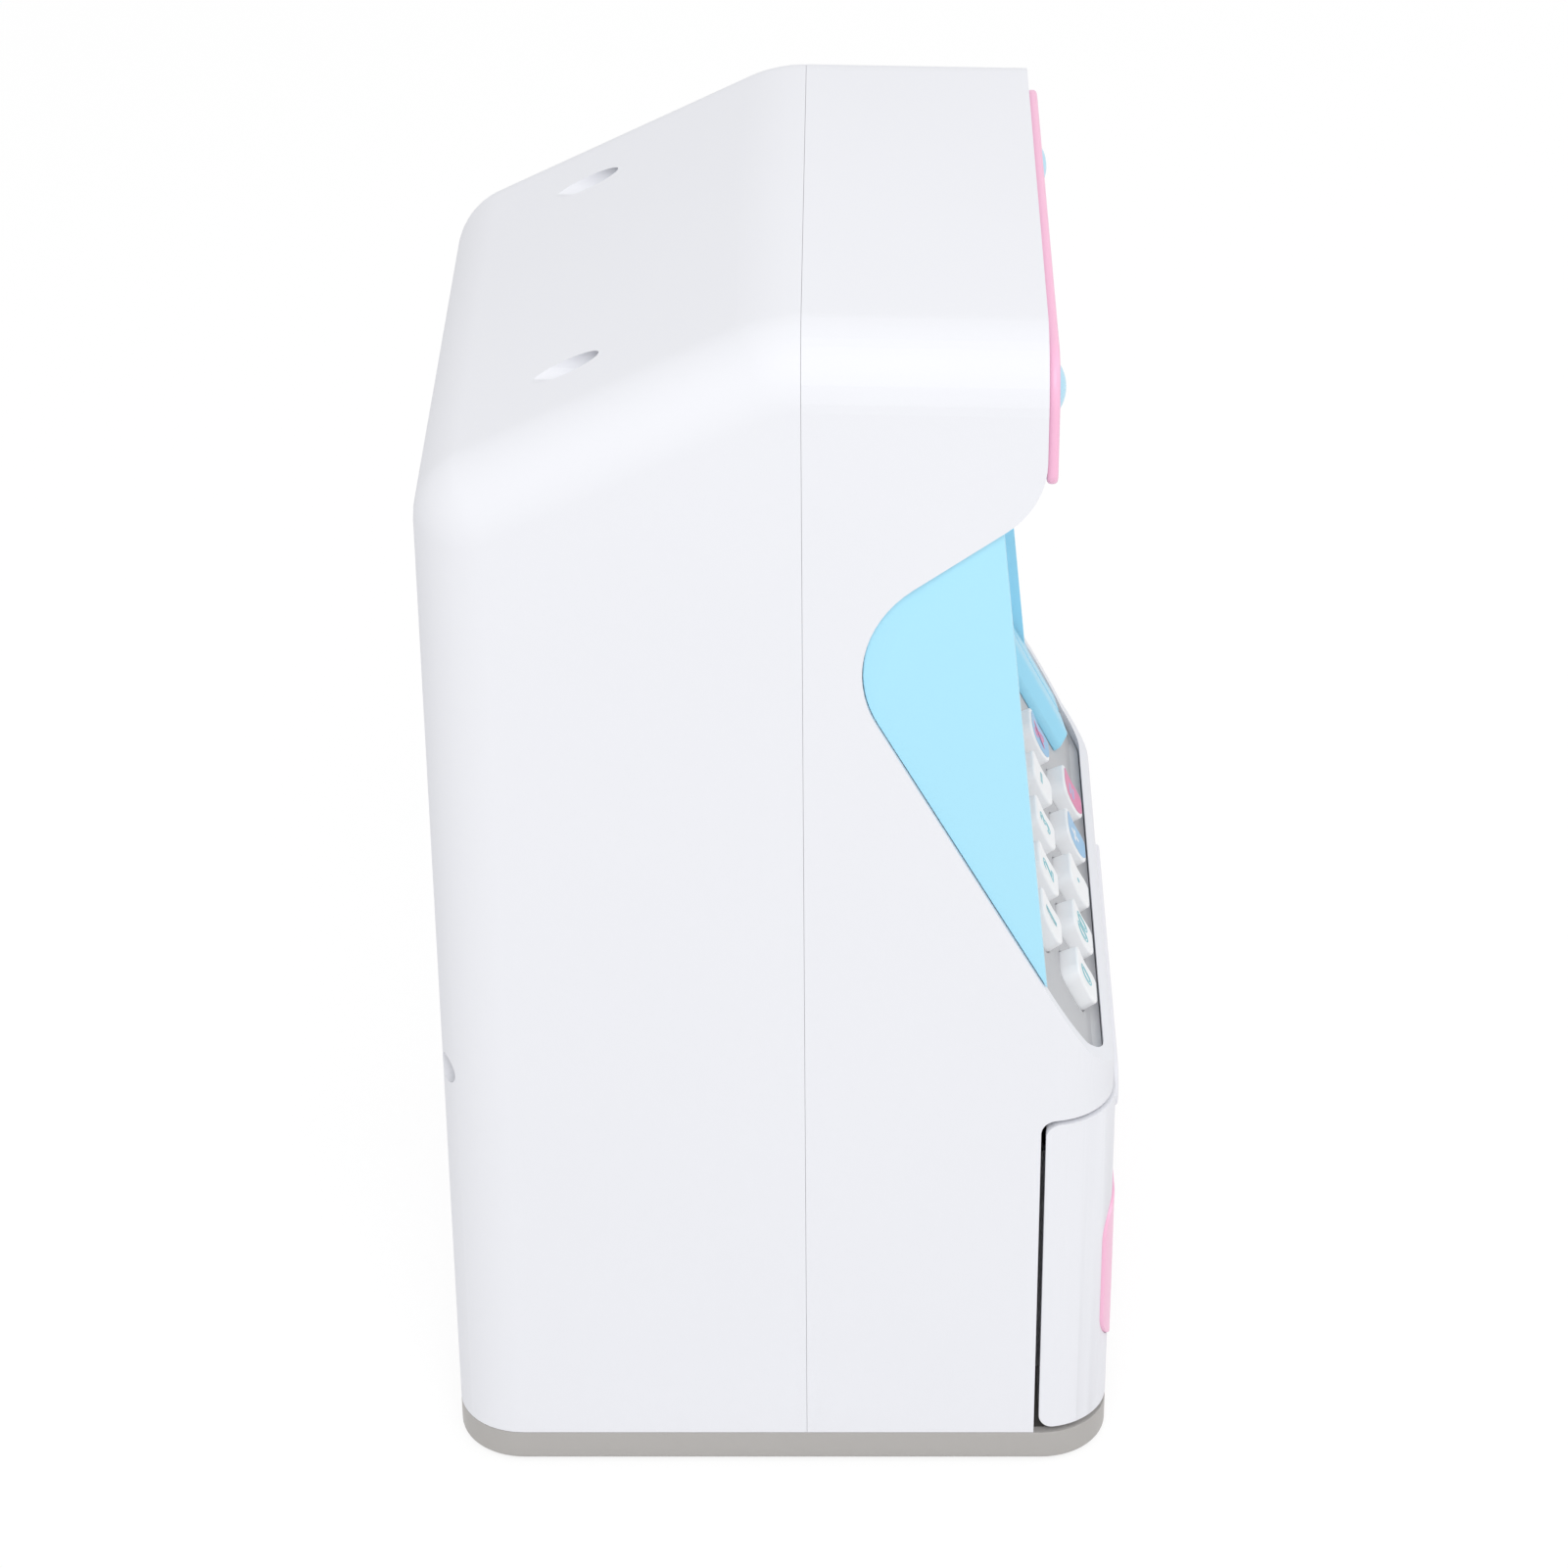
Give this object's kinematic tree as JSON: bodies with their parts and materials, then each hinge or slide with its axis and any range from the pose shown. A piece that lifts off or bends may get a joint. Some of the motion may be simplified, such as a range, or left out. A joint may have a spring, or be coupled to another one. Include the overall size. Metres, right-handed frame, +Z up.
{
  "type": "toy cash register",
  "caption": "Toy cash register: two-part moulded housing with a steep keyboard under an overhanging display block, card-swipe bar, sprung keys and a pull-out cash drawer.",
  "frame": {"origin": "middle of the footprint, on the surface that the rubber feet stand on", "axes": "+Z up, the front with the keyboard and drawer faces -Y, +X to the user's right"},
  "size_m": [0.139, 0.1334, 0.2515],
  "materials": {
    "white_plastic": "satin moulded",
    "grey_plastic": "satin moulded",
    "tray_plastic": "satin moulded",
    "panel_plastic": "fine grain",
    "key_plastic": "satin moulded",
    "blue_plastic": "gloss moulded",
    "button_plastic": "gloss moulded",
    "pink_plastic": "gloss moulded",
    "window_plastic": "clear acrylic",
    "lcd_cell": "polariser film",
    "circuit_board": "solder mask",
    "mat_rubber": "matt",
    "foot_rubber": "matt",
    "dark_plastic": "matt",
    "cell_can": "printed sleeve",
    "steel": "plated"
  },
  "bodies": {
    "housing": {"base_screws": "steel", "base_tray": "grey_plastic", "battery_box": "dark_plastic", "battery_cells": "cell_can", "battery_contacts": "steel", "battery_door": "white_plastic", "board_screws": "steel", "card_reader": "blue_plastic", "display_bezel": "pink_plastic", "display_board": "circuit_board", "display_window": "window_plastic", "door_screw": "steel", "drawer_catch": "steel", "front_shell": "white_plastic", "key_board": "circuit_board", "key_mat": "mat_rubber", "keyboard_panel": "panel_plastic", "lcd_module": "lcd_cell", "rear_shell": "white_plastic", "recess_liner": "blue_plastic", "rubber_feet": "foot_rubber", "shell_screws": "steel", "speaker": "dark_plastic", "switch_body": "dark_plastic"},
    "drawer": {"drawer_front": "white_plastic", "drawer_pull": "pink_plastic", "drawer_tray": "tray_plastic", "drawer_screws": "steel"},
    "key_0_cap": {"key_0": "key_plastic"},
    "key_00_cap": {"key_00": "key_plastic"},
    "key_point_cap": {"key_point": "key_plastic"},
    "key_plus_cap": {"key_plus": "key_plastic"},
    "key_equals_cap": {"key_equals": "key_plastic"},
    "key_1_cap": {"key_1": "key_plastic"},
    "key_2_cap": {"key_2": "key_plastic"},
    "key_3_cap": {"key_3": "key_plastic"},
    "key_minus_cap": {"key_minus": "key_plastic"},
    "key_percent_cap": {"key_percent": "key_plastic"},
    "key_4_cap": {"key_4": "key_plastic"},
    "key_5_cap": {"key_5": "key_plastic"},
    "key_6_cap": {"key_6": "key_plastic"},
    "key_times_cap": {"key_times": "key_plastic"},
    "key_back_cap": {"key_back": "key_plastic"},
    "key_7_cap": {"key_7": "key_plastic"},
    "key_8_cap": {"key_8": "key_plastic"},
    "key_9_cap": {"key_9": "key_plastic"},
    "key_divide_cap": {"key_divide": "key_plastic"},
    "key_clear_cap": {"key_clear": "key_plastic"},
    "left_button": {"left_dome_button": "button_plastic"},
    "right_button": {"right_dome_button": "button_plastic"},
    "power_slider": {"switch_slider": "dark_plastic"}
  },
  "joints": [
    {"name": "drawer_slide", "type": "slide", "parent": "housing", "child": "drawer", "axis": [0, -1, 0], "range_m": [0, 0.08]},
    {"name": "key_0_press", "type": "slide", "parent": "housing", "child": "key_0_cap", "axis": [0, 0.887, -0.4617], "range_m": [0, 0.002], "stiffness_N_per_m": 300},
    {"name": "key_00_press", "type": "slide", "parent": "housing", "child": "key_00_cap", "axis": [0, 0.887, -0.4617], "range_m": [0, 0.002], "stiffness_N_per_m": 300},
    {"name": "key_point_press", "type": "slide", "parent": "housing", "child": "key_point_cap", "axis": [0, 0.887, -0.4617], "range_m": [0, 0.002], "stiffness_N_per_m": 300},
    {"name": "key_plus_press", "type": "slide", "parent": "housing", "child": "key_plus_cap", "axis": [0, 0.887, -0.4617], "range_m": [0, 0.002], "stiffness_N_per_m": 300},
    {"name": "key_equals_press", "type": "slide", "parent": "housing", "child": "key_equals_cap", "axis": [0, 0.887, -0.4617], "range_m": [0, 0.002], "stiffness_N_per_m": 300},
    {"name": "key_1_press", "type": "slide", "parent": "housing", "child": "key_1_cap", "axis": [0, 0.887, -0.4617], "range_m": [0, 0.002], "stiffness_N_per_m": 300},
    {"name": "key_2_press", "type": "slide", "parent": "housing", "child": "key_2_cap", "axis": [0, 0.887, -0.4617], "range_m": [0, 0.002], "stiffness_N_per_m": 300},
    {"name": "key_3_press", "type": "slide", "parent": "housing", "child": "key_3_cap", "axis": [0, 0.887, -0.4617], "range_m": [0, 0.002], "stiffness_N_per_m": 300},
    {"name": "key_minus_press", "type": "slide", "parent": "housing", "child": "key_minus_cap", "axis": [0, 0.887, -0.4617], "range_m": [0, 0.002], "stiffness_N_per_m": 300},
    {"name": "key_percent_press", "type": "slide", "parent": "housing", "child": "key_percent_cap", "axis": [0, 0.887, -0.4617], "range_m": [0, 0.002], "stiffness_N_per_m": 300},
    {"name": "key_4_press", "type": "slide", "parent": "housing", "child": "key_4_cap", "axis": [0, 0.887, -0.4617], "range_m": [0, 0.002], "stiffness_N_per_m": 300},
    {"name": "key_5_press", "type": "slide", "parent": "housing", "child": "key_5_cap", "axis": [0, 0.887, -0.4617], "range_m": [0, 0.002], "stiffness_N_per_m": 300},
    {"name": "key_6_press", "type": "slide", "parent": "housing", "child": "key_6_cap", "axis": [0, 0.887, -0.4617], "range_m": [0, 0.002], "stiffness_N_per_m": 300},
    {"name": "key_times_press", "type": "slide", "parent": "housing", "child": "key_times_cap", "axis": [0, 0.887, -0.4617], "range_m": [0, 0.002], "stiffness_N_per_m": 300},
    {"name": "key_back_press", "type": "slide", "parent": "housing", "child": "key_back_cap", "axis": [0, 0.887, -0.4617], "range_m": [0, 0.002], "stiffness_N_per_m": 300},
    {"name": "key_7_press", "type": "slide", "parent": "housing", "child": "key_7_cap", "axis": [0, 0.887, -0.4617], "range_m": [0, 0.002], "stiffness_N_per_m": 300},
    {"name": "key_8_press", "type": "slide", "parent": "housing", "child": "key_8_cap", "axis": [0, 0.887, -0.4617], "range_m": [0, 0.002], "stiffness_N_per_m": 300},
    {"name": "key_9_press", "type": "slide", "parent": "housing", "child": "key_9_cap", "axis": [0, 0.887, -0.4617], "range_m": [0, 0.002], "stiffness_N_per_m": 300},
    {"name": "key_divide_press", "type": "slide", "parent": "housing", "child": "key_divide_cap", "axis": [0, 0.887, -0.4617], "range_m": [0, 0.002], "stiffness_N_per_m": 300},
    {"name": "key_clear_press", "type": "slide", "parent": "housing", "child": "key_clear_cap", "axis": [0, 0.887, -0.4617], "range_m": [0, 0.002], "stiffness_N_per_m": 300},
    {"name": "left_button_press", "type": "slide", "parent": "housing", "child": "left_button", "axis": [0, 1, 0], "range_m": [0, 0.001], "stiffness_N_per_m": 600},
    {"name": "right_button_press", "type": "slide", "parent": "housing", "child": "right_button", "axis": [0, 1, 0], "range_m": [0, 0.001], "stiffness_N_per_m": 600},
    {"name": "power_slide", "type": "slide", "parent": "housing", "child": "power_slider", "axis": [1, 0, 0], "range_m": [0, 0.004]}
  ]
}
